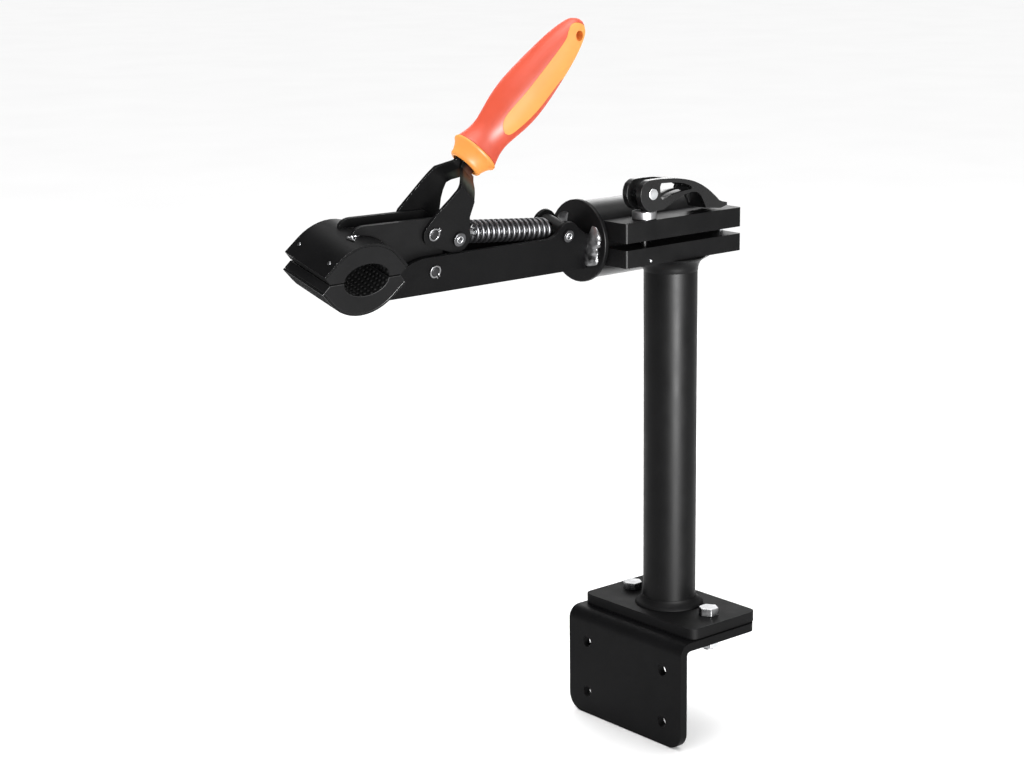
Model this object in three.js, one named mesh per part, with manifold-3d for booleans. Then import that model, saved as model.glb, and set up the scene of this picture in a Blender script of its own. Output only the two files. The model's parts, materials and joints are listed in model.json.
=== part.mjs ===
// Bench-mount bike repair stand with a quick-release toggle clamp.
// Millimetres, +Z up. The arm points along -Y, and the bench lies on the +Y side of the bracket.
// The origin is on the bracket's inner face, in the middle of its four fixing holes.

import * as THREE from 'three';
import { mergeVertices } from 'three/addons/utils/BufferGeometryUtils.js';
import Module from 'manifold-3d';

const wasm = await Module();
wasm.setup();

// ---------- driving dimensions ----------
const GAP = 0.3; // air left between neighbouring pieces

const COLUMN = { radius: 25, wall: 3, top: 335.4 };
const BASE = { x: 150, y: 86, thick: 10, corner: 9 };
const BOLT = { x: 52, y: 1, shank: 5, hole: 5.6, head: 9.6, headHeight: 7 };
const BRACKET = { width: 154, thick: 8, front: -59.7, back: 40, drop: 103.7, bend: 12, corner: 16 };
const FIXING = { x: 51.7, upper: 30.5, lower: 81.5, radius: 5.4 };

const SLEEVE = { x: -35, z: 355, radius: 35.4, bore: 30.6, front: 79.5, back: -66 };
const BAR = { face: 25, back: -67, slit: 6.4, upper: 18, lower: 16 };
const SKEWER = { x: 13, y: -46, radius: 3 };
const PLUG = { y: -49, z: 339.5, radius: 1.4 };
const LEVER = { pivotZ: 399.5, foot: 15.7, xMin: 1, xMax: 25, cheek: 6.2, pin: 5.2 };

const ARM_ROLL = THREE.MathUtils.degToRad(14.5);
const ARM = { outer: 17.5, plate: 3, bottom: -20, top: 14, front: 84.8 };
const DISC = { radius: 37.8, thick: 4.5 };

// Linkage pivots as (reach u in front of the column axis, height v above the sleeve axis).
const JAW_PIVOT = { u: 262, v: 0.5 };
const HANDLE_PIVOT = { u: 266, v: 33.5 };
const EYE_PIVOT = { u: 238, v: 26 };
const TRUNNION = { u: 114.5, v: 15.5 };

const JAW = { u: 344, v: 8.2, half: 29, reach: 42.5, height: 32, lip: 7.8, arc: 44.2, sheet: 2 };
const MOUTH = { centre: -1, half: 23, height: 13.8 };
const LEVER_PLATE = { inner: 8.3, outer: 11.1 };
const FORK = { inner: 11.5, outer: 14.1 };
const SPRING = { radius: 8.8, wire: 1.5, turns: 15.5, start: 20.2 };
const ROD = { radius: 4, shoulder: 11.2, end: 143, lean: THREE.MathUtils.degToRad(0.4) };

const GRIP_BASE = { u: 221, v: 99 };
const GRIP_TILT = THREE.MathUtils.degToRad(133.6);

// ---------- materials ----------
const powder = new THREE.MeshStandardMaterial({ color: 0x232425, roughness: 0.55, metalness: 0.15 });
const sheet = new THREE.MeshStandardMaterial({ color: 0x2a2b2c, roughness: 0.5, metalness: 0.2 });
const zinc = new THREE.MeshStandardMaterial({ color: 0xb9bbbd, roughness: 0.35, metalness: 0.9 });
const blackSteel = new THREE.MeshStandardMaterial({ color: 0x18191a, roughness: 0.3, metalness: 0.7 });
const rubber = new THREE.MeshStandardMaterial({ color: 0x3a3b3b, roughness: 0.85, metalness: 0 });
const castBlack = new THREE.MeshStandardMaterial({ color: 0x1d1e1f, roughness: 0.45, metalness: 0.3 });
const red = new THREE.MeshStandardMaterial({ color: 0xeb5a41, roughness: 0.35, metalness: 0 });
const orange = new THREE.MeshStandardMaterial({ color: 0xf9b264, roughness: 0.4, metalness: 0 });

// ---------- solids ----------
function solid(geometry) {
  const plain = geometry.clone();
  plain.deleteAttribute('normal');
  plain.deleteAttribute('uv');
  const merged = mergeVertices(plain, 1e-4);
  const mesh = new wasm.Mesh({
    numProp: 3,
    vertProperties: new Float32Array(merged.attributes.position.array),
    triVerts: new Uint32Array(merged.index.array),
  });
  return new wasm.Manifold(mesh);
}

function geometryOf(body) {
  const mesh = body.getMesh();
  const geometry = new THREE.BufferGeometry();
  geometry.setAttribute('position', new THREE.BufferAttribute(new Float32Array(mesh.vertProperties), 3));
  geometry.setIndex(new THREE.BufferAttribute(new Uint32Array(mesh.triVerts), 1));
  geometry.computeVertexNormals();
  return geometry;
}

function cut(body, ...tools) {
  return tools.reduce((left, tool) => left.subtract(tool), body);
}

function join(body, ...others) {
  return others.reduce((sum, other) => sum.add(other), body);
}

function add(group, name, material, body) {
  const mesh = new THREE.Mesh(body.isBufferGeometry ? body : geometryOf(body), material);
  mesh.name = name;
  group.add(mesh);
}

function block(x0, x1, y0, y1, z0, z1) {
  const geometry = new THREE.BoxGeometry(x1 - x0, y1 - y0, z1 - z0);
  geometry.translate((x0 + x1) / 2, (y0 + y1) / 2, (z0 + z1) / 2);
  return solid(geometry);
}

// A round bar along one axis, from one end to the other, at the given place on the other two axes.
function bar(axis, radius, from, to, place, segments = 18) {
  const geometry = new THREE.CylinderGeometry(radius, radius, to - from, segments);
  geometry.translate(0, (from + to) / 2, 0);
  if (axis === 'x') geometry.rotateZ(-Math.PI / 2);
  if (axis === 'z') geometry.rotateX(Math.PI / 2);
  geometry.translate(...place);
  return solid(geometry);
}

function extrude(shape, depth, matrix, curveSegments = 6) {
  const geometry = new THREE.ExtrudeGeometry(shape, { depth, bevelEnabled: false, curveSegments });
  geometry.applyMatrix4(matrix);
  return solid(geometry);
}

// A shape drawn in (x, y), standing up along Z.
function slabZ(shape, zMin, zMax, segments) {
  return extrude(shape, zMax - zMin, new THREE.Matrix4().makeTranslation(0, 0, zMin), segments);
}

// A shape drawn in (x, z), running along Y.
function slabY(shape, yMin, yMax, segments) {
  const turn = new THREE.Matrix4().set(1, 0, 0, 0, 0, 0, -1, yMax, 0, 1, 0, 0, 0, 0, 0, 1);
  return extrude(shape, yMax - yMin, turn, segments);
}

// A shape drawn in (y, z), running along X.
function slabX(shape, xMin, xMax, segments) {
  const turn = new THREE.Matrix4().set(0, 0, 1, xMin, 1, 0, 0, 0, 0, 1, 0, 0, 0, 0, 0, 1);
  return extrude(shape, xMax - xMin, turn, segments);
}

// A shape drawn in the arm's side view (u forward, v up), running across the arm.
function slabArm(shape, xMin, xMax, segments) {
  const turn = new THREE.Matrix4().set(0, 0, -1, xMax, -1, 0, 0, 0, 0, 1, 0, 0, 0, 0, 0, 1);
  return extrude(shape, xMax - xMin, turn, segments);
}

function polygon(points) {
  return new THREE.Shape(points.map(([x, y]) => new THREE.Vector2(x, y)));
}

function roundedRect(x0, x1, y0, y1, radius) {
  const shape = new THREE.Shape();
  shape.moveTo(x1 - radius, y0);
  shape.absarc(x1 - radius, y0 + radius, radius, -Math.PI / 2, 0);
  shape.absarc(x1 - radius, y1 - radius, radius, 0, Math.PI / 2);
  shape.absarc(x0 + radius, y1 - radius, radius, Math.PI / 2, Math.PI);
  shape.absarc(x0 + radius, y0 + radius, radius, Math.PI, Math.PI * 1.5);
  return shape;
}

// The outline of a belt around two round ends.
function belt(a, radiusA, b, radiusB) {
  const along = Math.atan2(b.v - a.v, b.u - a.u);
  const reach = Math.hypot(b.u - a.u, b.v - a.v);
  const lean = Math.acos((radiusA - radiusB) / reach);
  const shape = new THREE.Shape();
  shape.absarc(a.u, a.v, radiusA, along + lean, along - lean + Math.PI * 2);
  shape.absarc(b.u, b.v, radiusB, along - lean, along + lean);
  return shape;
}

function bolt(x, y, headZ, endZ) {
  const shank = bar('z', BOLT.shank, endZ, headZ + 1, [x, y, 0]);
  return join(hexZ(x, y, headZ, headZ + BOLT.headHeight, BOLT.head), shank);
}

function hexZ(x, y, zMin, zMax, radius) {
  return bar('z', radius, zMin, zMax, [x, y, 0], 6);
}

function ringZ(x, y, zMin, zMax, outer, inner, segments = 18) {
  const outside = bar('z', outer, zMin, zMax, [x, y, 0], segments);
  return cut(outside, bar('z', inner, zMin - 1, zMax + 1, [x, y, 0], segments));
}

// A retaining ring with two lugs, lying in the arm's side view.
function retainingRing(pivot, xMin, xMax, opening) {
  const at = (angle, r) => [pivot.u + r * Math.cos(angle), pivot.v + r * Math.sin(angle)];
  const half = 0.32;
  const shape = new THREE.Shape();
  shape.absarc(pivot.u, pivot.v, 5.8, opening + half, opening - half + Math.PI * 2);
  shape.lineTo(...at(opening - 0.24, 7.4));
  shape.lineTo(...at(opening - 0.1, 7.4));
  shape.lineTo(...at(opening - 0.13, 4.3));
  shape.absarc(pivot.u, pivot.v, 4.3, opening - 0.3 + Math.PI * 2, opening + 0.3, true);
  shape.lineTo(...at(opening + 0.13, 4.3));
  shape.lineTo(...at(opening + 0.1, 7.4));
  shape.lineTo(...at(opening + 0.24, 7.4));
  return slabArm(shape, xMin, xMax, 8);
}

// A pin across the arm.
function pin(pivot, radius, xMin, xMax, segments = 18) {
  return bar('x', radius, xMin, xMax, [0, -pivot.u, pivot.v], segments);
}

const part = new THREE.Group();

// ---------- stand: bracket, foot, column ----------
const stand = new THREE.Group();
const benchFace = { y: BRACKET.front + BRACKET.thick, z: -BASE.thick - (FIXING.upper + FIXING.lower) / 2 };
stand.position.set(0, -benchFace.y, -benchFace.z);
part.add(stand);

function bracketBody() {
  const half = BRACKET.width / 2;
  const top = -BASE.thick - GAP;
  const low = -BASE.thick - BRACKET.drop;
  const inner = BRACKET.bend - BRACKET.thick;
  const centre = [BRACKET.front + BRACKET.bend, top - BRACKET.bend];

  const angle = new THREE.Shape();
  angle.moveTo(BRACKET.front, low);
  angle.lineTo(BRACKET.front + BRACKET.thick, low);
  angle.absarc(...centre, inner, Math.PI, Math.PI / 2, true);
  angle.lineTo(BRACKET.back, top - BRACKET.thick);
  angle.lineTo(BRACKET.back, top);
  angle.absarc(...centre, BRACKET.bend, Math.PI / 2, Math.PI);
  let body = slabX(angle, -half, half);

  const leg = roundedRect(-half, half, low, 60, BRACKET.corner);
  body = body.intersect(slabY(leg, BRACKET.front - 5, BRACKET.back + 5));
  const flange = roundedRect(-half, half, -100, BRACKET.back, 9);
  body = body.intersect(slabZ(flange, low - 5, top + 5));

  for (const side of [-1, 1]) {
    for (const depth of [FIXING.upper, FIXING.lower]) {
      const place = [side * FIXING.x, 0, -BASE.thick - depth];
      body = cut(body, bar('y', FIXING.radius, -70, -40, place, 16));
    }
    body = cut(body, bar('z', BOLT.hole, -30, 0, [side * BOLT.x, BOLT.y, 0]));
  }
  return body;
}

add(stand, 'bench_bracket', powder, bracketBody());

const plate = roundedRect(-BASE.x / 2, BASE.x / 2, -BASE.y / 2, BASE.y / 2, BASE.corner);
for (const side of [-1, 1]) {
  const hole = new THREE.Path();
  hole.absarc(side * BOLT.x, BOLT.y, BOLT.hole, 0, Math.PI * 2);
  plate.holes.push(hole);
}
add(stand, 'base_plate', powder, slabZ(plate, -BASE.thick, 0, 5));

for (const [side, name] of [[-1, 'left'], [1, 'right']]) {
  const x = side * BOLT.x;
  const under = -BASE.thick - GAP - BRACKET.thick;
  add(stand, `foot_bolt_${name}`, zinc, bolt(x, BOLT.y, GAP, under - 15.5));
  const nut = hexZ(x, BOLT.y, under - 12.8, under - 2.6, BOLT.head);
  add(stand, `foot_nut_${name}`, zinc, cut(nut, bar('z', BOLT.shank + GAP, -40, 0, [x, BOLT.y, 0])));
  add(stand, `nut_washer_${name}`, zinc, ringZ(x, BOLT.y, under - 2.3, under - GAP, 10, BOLT.hole));
}

const sleeveBar = (radius, y0, y1) => bar('y', radius, y0, y1, [SLEEVE.x, 0, SLEEVE.z], 44);
const sleeveClearance = sleeveBar(SLEEVE.radius + GAP, -90, 90);
const slitHalf = BAR.slit / 2;
const barFloor = SLEEVE.z - slitHalf - BAR.lower;

const tube = ringZ(0, 0, GAP, COLUMN.top, COLUMN.radius, COLUMN.radius - COLUMN.wall, 40);
const underBar = block(-40, 40, -40, 40, barFloor - GAP, barFloor + 40);
add(stand, 'column', powder, cut(tube, sleeveClearance, underBar));

const beadProfile = [[GAP, GAP], [7.9, GAP], [7.3, 1.4], [5.9, 2.6], [3.9, 3.6], [2.2, 4.9],
  [1.1, 6.4], [GAP, 8.4], [GAP, GAP]];
const bead = new THREE.LatheGeometry(beadProfile.map(([r, z]) => new THREE.Vector2(COLUMN.radius + r, z)), 32);
bead.rotateX(Math.PI / 2);
add(stand, 'foot_weld', powder, solid(bead));

// ---------- sleeve and clamp bars ----------
const slit = block(SLEEVE.x, SLEEVE.x + 50, -90, 90, SLEEVE.z - slitHalf, SLEEVE.z + slitHalf);
const sleeve = sleeveBar(SLEEVE.radius, -SLEEVE.front, -SLEEVE.back);
add(stand, 'clamp_sleeve', powder, cut(sleeve, sleeveBar(SLEEVE.bore, -90, 90), slit));

const skewerHole = bar('z', SKEWER.radius + 0.6, 300, 400, [SKEWER.x, SKEWER.y, 0]);
const barSpans = {
  upper_clamp_bar: [SLEEVE.z + slitHalf, SLEEVE.z + slitHalf + BAR.upper],
  lower_clamp_bar: [barFloor, SLEEVE.z - slitHalf],
};
for (const [name, [z0, z1]] of Object.entries(barSpans)) {
  const raw = slabZ(roundedRect(SLEEVE.x, BAR.face, -SLEEVE.front, -BAR.back, 2.6), z0, z1, 5);
  let shaped = cut(raw, sleeveClearance, skewerHole, block(-60, SLEEVE.x + 20, -90, 90, 300, 400));
  if (name === 'lower_clamp_bar') {
    shaped = cut(shaped, bar('x', PLUG.radius + GAP, BAR.face - 5, BAR.face + 5, [0, PLUG.y, PLUG.z]));
  }
  add(stand, name, powder, shaped);
}
add(stand, 'bar_plug', zinc, bar('x', PLUG.radius, BAR.face - 4.5, BAR.face + 0.5, [0, PLUG.y, PLUG.z]));

// ---------- quick release ----------
const barTop = SLEEVE.z + slitHalf + BAR.upper;
const leverBed = LEVER.pivotZ - LEVER.foot - 0.5;
const skewerEnd = LEVER.pivotZ - LEVER.pin - GAP;
const skewer = bar('z', SKEWER.radius, barFloor + 2, skewerEnd, [SKEWER.x, SKEWER.y, 0]);
add(stand, 'skewer', zinc, skewer);
const seat = ringZ(SKEWER.x, SKEWER.y, barTop + GAP, leverBed, 11.2, SKEWER.radius + 0.6, 24);
add(stand, 'cam_seat', zinc, seat);
const pivotPlace = [0, SKEWER.y, LEVER.pivotZ];
add(stand, 'cam_barrel', zinc, bar('x', LEVER.pin, LEVER.xMin - 0.4, LEVER.xMax + 0.5, pivotPlace, 20));

// The cam lever's side view, as (y, z) from its pivot.
function camLeverBody() {
  const y = SKEWER.y;
  const z = LEVER.pivotZ;
  const side = new THREE.Shape();
  side.moveTo(y, z - LEVER.foot);
  side.absarc(y, z, LEVER.foot, Math.PI * 1.5, Math.PI * 0.8, true);
  side.splineThru([[-7, 12.4], [1, 13], [12, 12.8], [26, 11.9], [40, 9.8], [53, 6.3], [66, 0], [77, -7.8], [84, -13.8]]
    .map(([dy, dz]) => new THREE.Vector2(y + dy, z + dz)));
  side.lineTo(y + 88, z - 15.3);
  side.lineTo(y + 94, z - 16.6);
  side.lineTo(y + 94, z - 19.2);
  side.lineTo(y + 86, z - 21.2);
  side.lineTo(y + 67, z - 19.4);
  side.splineThru([[63.5, -12.5], [58.5, -5.6], [50.5, -2.6], [37, -4.6], [26, -8.9], [13, -15]]
    .map(([dy, dz]) => new THREE.Vector2(y + dy, z + dz)));
  let body = slabX(side, LEVER.xMin, LEVER.xMax, 5);

  const slot = polygon([[-20, -20], [18, -20], [18, 20], [-20, 20]].map(([a, b]) => [y + a, z + b]));
  const hollow = polygon([[17, -24], [66, -24], [66, -3], [53, 3], [40, 6.7], [28, 8.8], [17, 9.4]]
    .map(([a, b]) => [y + a, z + b]));
  const inside = [LEVER.xMin + LEVER.cheek, LEVER.xMax - LEVER.cheek];
  const wall = 3;
  body = cut(body, slabX(slot, ...inside), slabX(hollow, LEVER.xMin + wall, LEVER.xMax - wall));

  // The cheeks are see-through; the far one's window reaches a little lower.
  const windows = {
    near: [[10, 8.9], [26, 8.2], [38, 6.4], [46, 3.6], [48.5, 1.8], [47.5, 0.2], [40, -0.3], [26, -2], [16, -5],
      [11.5, -6], [9.2, -4], [8.4, 6]],
    far: [[10, 8.9], [26, 8.2], [38, 6.4], [46, 3.6], [49, 1.8], [47.5, -0.6], [38, -1.6], [26, -5.4], [16, -9.6],
      [12.5, -9.6], [9.4, -5], [8.4, 6]],
  };
  const middle = (LEVER.xMin + LEVER.xMax) / 2;
  const outline = (points) => polygon(points.map(([a, b]) => [y + a, z + b]));
  body = cut(body, slabX(outline(windows.near), middle, LEVER.xMax + 5));
  body = cut(body, slabX(outline(windows.far), LEVER.xMin - 5, middle));
  return cut(body, bar('x', LEVER.pin + GAP, -10, 40, pivotPlace, 20));
}

add(stand, 'cam_lever', castBlack, camLeverBody());

// ---------- arm, turned about the sleeve's axis ----------
const arm = new THREE.Group();
arm.position.set(SLEEVE.x, 0, SLEEVE.z);
arm.rotation.y = ARM_ROLL;
stand.add(arm);

const discBack = SLEEVE.front + 0.4;
const shaftBack = SLEEVE.back - 0.6;
const shaftRadius = SLEEVE.bore - GAP;
const rotorProfile = [[12, -discBack - DISC.thick], [DISC.radius - 0.8, -discBack - DISC.thick],
  [DISC.radius, -discBack - DISC.thick + 0.8], [DISC.radius, -discBack], [shaftRadius, -discBack],
  [shaftRadius, -shaftBack], [22, -shaftBack], [22, -discBack + 3], [12, -discBack + 3],
  [12, -discBack - DISC.thick]];
const rotor = new THREE.LatheGeometry(rotorProfile.map(([r, y]) => new THREE.Vector2(r, y)), 36);
add(arm, 'rotor', powder, solid(rotor));

const capFront = -shaftBack + GAP;
const cap = bar('y', 33.5, capFront, capFront + 4, [0, 0, 0], 32);
const capBore = bar('y', 3.4, capFront - 1, capFront + 6, [0, 0, 0]);
add(arm, 'rotor_cap', zinc, cut(cap, capBore));
const capScrewHead = bar('y', 7.5, capFront + 4.3, capFront + 9.3, [0, 0, 0], 6);
const capScrew = join(capScrewHead, bar('y', 3, capFront - 22, capFront + 5, [0, 0, 0]));
add(arm, 'rotor_cap_screw', zinc, capScrew);
const anchor = bar('y', shaftRadius - 9, capFront - 20, capFront - 10, [0, 0, 0], 24);
add(arm, 'rotor_anchor', zinc, cut(anchor, bar('y', 3 + GAP, capFront - 30, capFront, [0, 0, 0])));

// Points on the jaw's arched outline, from the front lip to the back lip, drawn inward by inset.
function archPoints(inset, sign, steps = 12) {
  const radius = JAW.arc - inset;
  const centre = JAW.height - JAW.arc;
  const points = [];
  const lip = inset / Math.SQRT2;
  points.push([JAW.reach - lip, JAW.lip - lip]);
  for (let i = 0; i <= steps; i += 1) {
    const angle = Math.PI / 4 + (i / steps) * Math.PI / 2;
    points.push([radius * Math.cos(angle), centre + radius * Math.sin(angle)]);
  }
  points.push([lip - JAW.reach, JAW.lip - lip]);
  return points.map(([s, t]) => [JAW.u + s, JAW.v + sign * t]);
}

function coverBody(sign) {
  const outline = [...archPoints(0, sign), ...archPoints(JAW.sheet, sign).reverse()];
  return slabArm(polygon(outline), -JAW.half, JAW.half);
}

function padBody(sign) {
  const inset = JAW.sheet + GAP;
  const half = 0.7;
  const arch = archPoints(inset, sign);
  const mouth = [];
  const steps = 12;
  for (let i = 0; i <= steps; i += 1) {
    const angle = Math.PI - (i / steps) * Math.PI;
    const s = MOUTH.centre + MOUTH.half * Math.cos(angle);
    mouth.push([JAW.u + s, JAW.v + sign * (half + MOUTH.height * Math.sin(angle))]);
  }
  const front = [[JAW.u + 36, JAW.v + sign * half]];
  const rear = [[JAW.u - 36, JAW.v + sign * half]];
  return slabArm(polygon([...front, ...arch, ...rear, ...mouth]), -JAW.half, JAW.half);
}

// A rivet's place and lean on a cover, at a distance s in front of the jaw's middle.
function onCover(geometry, sign, [s, x]) {
  const flank = JAW.arc * Math.SQRT1_2;
  const onArc = Math.min(Math.abs(s), flank);
  const tall = JAW.height - JAW.arc + Math.sqrt(JAW.arc ** 2 - onArc ** 2) - (Math.abs(s) - onArc);
  const lean = Math.asin(Math.sign(s) * onArc / JAW.arc);
  geometry.rotateX(Math.PI / 2);
  geometry.rotateX(sign > 0 ? lean : Math.PI - lean);
  geometry.translate(x, -(JAW.u + s), JAW.v + sign * tall);
  return solid(geometry);
}

function rivetBody(sign, spot) {
  const profile = [[0, -5], [1.3, -5], [1.3, 0.2], [2, 0.3], [1.8, 0.8], [1.1, 1.2], [0, 1.3]];
  return onCover(new THREE.LatheGeometry(profile.map(([r, h]) => new THREE.Vector2(r, h)), 14), sign, spot);
}

const rivetHole = (sign, spot) => onCover(new THREE.CylinderGeometry(1.65, 1.65, 14, 14), sign, spot);

function armPlate(xMin, xMax) {
  const shape = new THREE.Shape();
  const ear = 12.5;
  const arch = archPoints(-GAP, -1).reverse().slice(0, 8);
  shape.moveTo(ARM.front, ARM.bottom);
  const bottomReach = Math.sqrt((JAW.arc + GAP) ** 2 - (JAW.v - ARM.bottom + JAW.arc - JAW.height) ** 2);
  shape.lineTo(JAW.u - bottomReach, ARM.bottom);
  const kept = arch.filter(([, v]) => v > ARM.bottom + 0.3).reverse();
  kept.forEach(([u, v]) => shape.lineTo(u, v));
  shape.quadraticCurveTo(294, ARM.top - 1.5, 272, ARM.top);
  shape.lineTo(TRUNNION.u + 25, ARM.top);
  shape.quadraticCurveTo(TRUNNION.u + 16, ARM.top, TRUNNION.u + 11.6, TRUNNION.v + 4.6);
  shape.absarc(TRUNNION.u, TRUNNION.v, ear, 0.38, 2.3);
  shape.quadraticCurveTo(TRUNNION.u - 16, ARM.top + 3.5, TRUNNION.u - 25, ARM.top - 1);
  shape.lineTo(ARM.front, ARM.top - 1);
  const body = slabArm(shape, xMin, xMax, 7);
  const holes = [pin(JAW_PIVOT, 4.3, -30, 30), pin(TRUNNION, 3.4, -30, 30)];
  return cut(body, ...holes);
}

add(arm, 'arm_plate_near', powder, armPlate(ARM.outer - ARM.plate, ARM.outer));
add(arm, 'arm_plate_far', powder, armPlate(-ARM.outer, ARM.plate - ARM.outer));
const floorHalf = ARM.outer - ARM.plate - GAP;
const floorBox = block(-floorHalf, floorHalf, -310, -ARM.front, ARM.bottom, ARM.bottom + 3);
add(arm, 'arm_floor', powder, floorBox);

const upperRivets = { a: [34, -21.6], b: [34, 21.6] };
const lowerRivets = { a: [12, -21.6], b: [12, 21.6] };
const upperRivetHoles = Object.values(upperRivets).map((spot) => rivetHole(1, spot));
const lowerRivetHoles = Object.values(lowerRivets).map((spot) => rivetHole(-1, spot));
add(arm, 'lower_cover', sheet, cut(coverBody(-1), ...lowerRivetHoles));
add(arm, 'lower_pad', rubber, cut(padBody(-1), ...lowerRivetHoles));

const ends = { near: 1, far: -1 };
const span = (side, a, b) => (side > 0 ? [a, b] : [-b, -a]);
add(arm, 'jaw_pin', zinc, pin(JAW_PIVOT, 4, -19.3, 19.3));
for (const [name, side] of Object.entries(ends)) {
  const [x0, x1] = span(side, ARM.outer + GAP, ARM.outer + 1.5);
  add(arm, `jaw_pin_ring_${name}`, blackSteel, retainingRing(JAW_PIVOT, x0, x1, Math.PI + 0.9));

  const [h0, h1] = span(side, ARM.outer + GAP, ARM.outer + 2.8);
  const [s0, s1] = span(side, 7.6, ARM.outer + 1);
  const [k0, k1] = span(side, ARM.outer + 1.4, ARM.outer + 4);
  const head = join(pin(TRUNNION, 5.6, h0, h1), pin(TRUNNION, 3, s0, s1));
  add(arm, `ear_screw_${name}`, blackSteel, cut(head, pin(TRUNNION, 2.6, k0, k1, 6)));
}

// ---------- upper jaw ----------
const jaw = new THREE.Group();
arm.add(jaw);

function leverPlate(xMin, xMax) {
  const top = HANDLE_PIVOT.v + 13.5;
  const arch = archPoints(-GAP, 1);
  const beam = new THREE.Shape();
  beam.moveTo(HANDLE_PIVOT.u, top);
  beam.lineTo(339, top + 1.2);
  beam.quadraticCurveTo(347, top + 1.1, 349.5, top - 4);
  const onArch = arch.filter(([u]) => u < 352 && u > JAW.u - 38);
  onArch.forEach(([u, v]) => beam.lineTo(u, v));
  beam.quadraticCurveTo(296, 14, 282, 4);
  beam.lineTo(JAW_PIVOT.u + 6, JAW_PIVOT.v - 10.2);
  beam.lineTo(JAW_PIVOT.u, JAW_PIVOT.v);
  const body = join(slabArm(belt(JAW_PIVOT, 12, HANDLE_PIVOT, 13.5), xMin, xMax), slabArm(beam, xMin, xMax));
  return cut(body, pin(JAW_PIVOT, 4.3, -30, 30), pin(HANDLE_PIVOT, 4.3, -30, 30));
}

add(jaw, 'lever_plate_near', powder, leverPlate(LEVER_PLATE.inner, LEVER_PLATE.outer));
add(jaw, 'lever_plate_far', powder, leverPlate(-LEVER_PLATE.outer, -LEVER_PLATE.inner));
const spacerHalf = LEVER_PLATE.inner - GAP;
const spacer = pin(JAW_PIVOT, 7, -spacerHalf, spacerHalf);
add(jaw, 'jaw_spacer', zinc, cut(spacer, pin(JAW_PIVOT, 4.3, -30, 30)));
add(jaw, 'upper_cover', sheet, cut(coverBody(1), ...upperRivetHoles));
add(jaw, 'upper_pad', rubber, cut(padBody(1), ...upperRivetHoles));
for (const name of ['a', 'b']) {
  add(jaw, `upper_rivet_${name}`, zinc, rivetBody(1, upperRivets[name]));
  add(arm, `lower_rivet_${name}`, zinc, rivetBody(-1, lowerRivets[name]));
}

// ---------- handle ----------
const handle = new THREE.Group();
jaw.add(handle);

const gripAxis = { u: Math.cos(GRIP_TILT), v: Math.sin(GRIP_TILT) };
const gripSide = { u: Math.sin(GRIP_TILT), v: -Math.cos(GRIP_TILT) };
// A point given as height h along the grip's axis and r across it, back in the side view.
const onGrip = (h, r) => [
  GRIP_BASE.u + h * gripAxis.u + r * gripSide.u,
  GRIP_BASE.v + h * gripAxis.v + r * gripSide.v,
];

// Turns a body built around +Y, with h along +Y, onto the grip's axis.
function ontoGrip(geometry) {
  const turn = new THREE.Matrix4().set(
    0, 0, 1, 0,
    gripSide.u, -gripAxis.u, 0, -GRIP_BASE.u,
    -gripSide.v, gripAxis.v, 0, GRIP_BASE.v,
    0, 0, 0, 1,
  );
  geometry.applyMatrix4(turn);
  return solid(geometry);
}

const STEM = { half: 10.8, top: 30, bottom: -15 };

// Each fork leg's outline, as (h along the grip's axis, r across it), from the handle pin's front up to the
// collar and back down to the eye. The far leg runs further forward than the near one.
const legOutlines = {
  near: [[-80, -2.6], [-70.6, -1.2], [-59.4, -1.2], [-47.5, -1.7], [-38, -1.6], [-31, -0.8], [-27, -0.4],
    [-21.5, 1.8], [-17, 5], [-12, 8], [STEM.top, 8], [STEM.top, -STEM.half], [-16.5, -STEM.half],
    [-16.6, -14.8], [-19.4, -18.5], [-23.3, -22],
    [-27, -23.3], [-32, -23.8], [-44.5, -31.6]],
  far: [[-86, 8], [-84.5, 11.2], [-81.5, 12.5], [-64.3, 13], [-51, 13.4], [-41, 13.3], [-34, 12.6], [-28, 11.8],
    [-22, 11], [-16.5, STEM.half], [STEM.top, STEM.half], [STEM.top, -8], [-16, -8], [-21, -9.6], [-26, -8.6],
    [-30.5, -7.8], [-35.2, -8.3], [-41.1, -11.2], [-47, -15.5], [-52.8, -21.4]],
};

function forkPlate(side) {
  const leg = (side > 0 ? legOutlines.near : legOutlines.far).map(([h, r]) => onGrip(h, r));
  const front = [[HANDLE_PIVOT.u, HANDLE_PIVOT.v], [HANDLE_PIVOT.u + 10.3, HANDLE_PIVOT.v + 1.6]];
  const back = side > 0 ? [[EYE_PIVOT.u - 11.6, EYE_PIVOT.v + 6]] : [[EYE_PIVOT.u + 4, EYE_PIVOT.v + 12.4]];
  const blade = polygon([...front, ...leg, ...back, [EYE_PIVOT.u, EYE_PIVOT.v]]);
  const lobes = slabArm(belt(HANDLE_PIVOT, 10.4, EYE_PIVOT, 13), -20, 20);
  const flat = join(lobes, slabArm(blade, -20, 20));

  // The plate's path, as (h along the grip's axis, x across): it steps inward below the collar.
  const near = [[-110, FORK.inner], [-34, FORK.inner], [-20.5, 0.15], [60, 0.15], [60, 2.75], [-19.4, 2.75],
    [-33, FORK.outer], [-110, FORK.outer]];
  const path = polygon(near.map(([h, x]) => [h, side * x]));
  const geometry = new THREE.ExtrudeGeometry(path, { depth: 140, bevelEnabled: false });
  // (h, x, r) to the side view's frame, with r from 70 down to -70.
  const turn = new THREE.Matrix4().set(
    0, 1, 0, 0,
    -gripAxis.u, 0, gripSide.u, -GRIP_BASE.u - 70 * gripSide.u,
    gripAxis.v, 0, -gripSide.v, GRIP_BASE.v + 70 * gripSide.v,
    0, 0, 0, 1,
  );
  geometry.applyMatrix4(turn);
  const bent = flat.intersect(solid(geometry));
  return cut(bent, pin(HANDLE_PIVOT, 4.3, -30, 30), pin(EYE_PIVOT, 3.4, -30, 30));
}

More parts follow.
